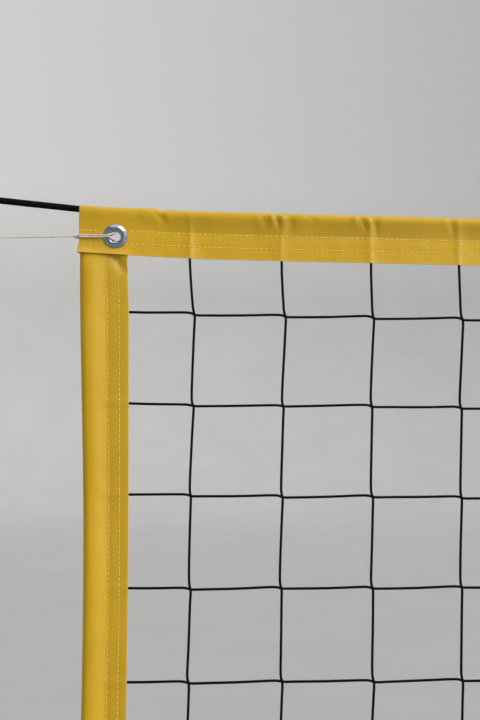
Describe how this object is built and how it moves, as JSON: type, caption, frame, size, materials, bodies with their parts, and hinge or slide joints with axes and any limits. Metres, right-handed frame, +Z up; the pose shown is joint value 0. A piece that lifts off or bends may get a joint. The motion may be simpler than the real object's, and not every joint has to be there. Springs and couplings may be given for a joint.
{
  "type": "volleyball net on posts",
  "caption": "Volleyball net with yellow edge bands, corner eyelets and square black mesh, hung between two telescopic posts on bolted base plates, with a hand winch that tightens the head rope.",
  "frame": {"origin": "On the ground, midway between the two posts, in the plane of the net", "axes": "X runs along the net from the winch post to the fixed post, Y is the net's depth, Z is up"},
  "size_m": [9.9, 0.4, 2.4871],
  "materials": {
    "base_gussets": "satin",
    "brake_disc": "satin",
    "cap_bolts": "satin",
    "clamp_bolts": "satin",
    "crank_arm": "satin",
    "crank_grip": "satin",
    "crank_shaft": "satin",
    "drum_gear": "satin",
    "drum_rope_turns": "matte",
    "drum_shaft": "satin",
    "eyelet_washers": "polished",
    "eyelets": "polished",
    "foot_band": "satin",
    "foot_rope": "matte",
    "foot_rope_pins": "satin",
    "grip_pin": "satin",
    "guide_collars": "satin",
    "head_band": "satin",
    "head_caps": "satin",
    "head_rope": "matte",
    "left_base_plate": "satin",
    "left_base_sleeve": "satin",
    "left_clamp_lever": "satin",
    "left_clamp_ring": "satin",
    "left_foot_tie_cord": "matte",
    "left_head_cheeks": "satin",
    "left_head_tie_cord": "matte",
    "left_lower_bracket": "satin",
    "left_lower_tube": "satin",
    "left_side_band": "satin",
    "left_upper_tube": "satin",
    "netting_rows": "matte",
    "netting_uprights": "matte",
    "pinion_gear": "satin",
    "right_base_plate": "satin",
    "right_base_sleeve": "satin",
    "right_clamp_lever": "satin",
    "right_clamp_ring": "satin",
    "right_foot_tie_cord": "matte",
    "right_head_cheeks": "satin",
    "right_head_tie_cord": "matte",
    "right_lower_bracket": "satin",
    "right_lower_tube": "satin",
    "right_side_band": "satin",
    "right_upper_tube": "satin",
    "rope_eye": "matte",
    "rope_ferrule": "satin",
    "rope_thimble": "satin",
    "sheave": "satin",
    "sheave_axle": "satin",
    "side_rods": "satin",
    "sleeve_screws": "satin",
    "slide_bushes": "satin",
    "thimble_pin": "satin",
    "tie_pins": "satin",
    "winch_bolts": "satin",
    "winch_drum": "satin",
    "winch_frame": "satin"
  },
  "bodies": {
    "posts": {"left_base_plate": "left_base_plate", "right_base_plate": "right_base_plate", "left_base_sleeve": "left_base_sleeve", "right_base_sleeve": "right_base_sleeve", "base_gussets": "base_gussets", "sleeve_screws": "sleeve_screws", "left_lower_tube": "left_lower_tube", "right_lower_tube": "right_lower_tube", "guide_collars": "guide_collars", "left_clamp_ring": "left_clamp_ring", "right_clamp_ring": "right_clamp_ring", "clamp_bolts": "clamp_bolts"},
    "left_lever": {"left_clamp_lever": "left_clamp_lever"},
    "right_lever": {"right_clamp_lever": "right_clamp_lever"},
    "carriage": {"cap_bolts": "cap_bolts", "eyelet_washers": "eyelet_washers", "eyelets": "eyelets", "foot_band": "foot_band", "foot_rope": "foot_rope", "foot_rope_pins": "foot_rope_pins", "head_band": "head_band", "head_caps": "head_caps", "head_rope": "head_rope", "left_foot_tie_cord": "left_foot_tie_cord", "left_head_cheeks": "left_head_cheeks", "left_head_tie_cord": "left_head_tie_cord", "left_lower_bracket": "left_lower_bracket", "left_side_band": "left_side_band", "left_upper_tube": "left_upper_tube", "netting_rows": "netting_rows", "netting_uprights": "netting_uprights", "right_foot_tie_cord": "right_foot_tie_cord", "right_head_cheeks": "right_head_cheeks", "right_head_tie_cord": "right_head_tie_cord", "right_lower_bracket": "right_lower_bracket", "right_side_band": "right_side_band", "right_upper_tube": "right_upper_tube", "rope_eye": "rope_eye", "rope_ferrule": "rope_ferrule", "rope_thimble": "rope_thimble", "sheave_axle": "sheave_axle", "side_rods": "side_rods", "slide_bushes": "slide_bushes", "thimble_pin": "thimble_pin", "tie_pins": "tie_pins", "winch_bolts": "winch_bolts", "winch_frame": "winch_frame"},
    "sheave_wheel": {"sheave": "sheave"},
    "drum": {"winch_drum": "winch_drum", "drum_gear": "drum_gear", "drum_shaft": "drum_shaft", "drum_rope_turns": "drum_rope_turns"},
    "crank": {"pinion_gear": "pinion_gear", "crank_shaft": "crank_shaft", "brake_disc": "brake_disc", "crank_arm": "crank_arm", "grip_pin": "grip_pin"},
    "grip": {"crank_grip": "crank_grip"}
  },
  "joints": [
    {"name": "left_lever_pivot", "type": "hinge", "parent": "posts", "child": "left_lever", "pos_m": [-4.804, -0.024, 0.963], "axis": [0, 0, -1], "range_deg": [0, 110]},
    {"name": "right_lever_pivot", "type": "hinge", "parent": "posts", "child": "right_lever", "pos_m": [4.804, 0.024, 0.963], "axis": [0, 0, -1], "range_deg": [0, 110]},
    {"name": "net_height", "type": "slide", "parent": "posts", "child": "carriage", "axis": [0, 0, 1], "range_m": [-0.43, 0]},
    {"name": "sheave_spin", "type": "hinge", "parent": "carriage", "child": "sheave_wheel", "pos_m": [-4.769, 0, 2.44271], "axis": [0, 1, 0], "continuous": true},
    {"name": "drum_spin", "type": "hinge", "parent": "carriage", "child": "drum", "pos_m": [-4.832, 0, 1.7], "axis": [0, 1, 0], "continuous": true},
    {"name": "crank_spin", "type": "hinge", "parent": "carriage", "child": "crank", "pos_m": [-4.832, 0, 1.64], "axis": [0, 1, 0], "continuous": true},
    {"name": "grip_spin", "type": "hinge", "parent": "crank", "child": "grip", "pos_m": [-4.832, -0.098, 1.48], "axis": [0, 1, 0], "continuous": true}
  ],
  "couplings": [
    {"joint": "crank_spin", "follows": "drum_spin", "ratio": -3}
  ]
}
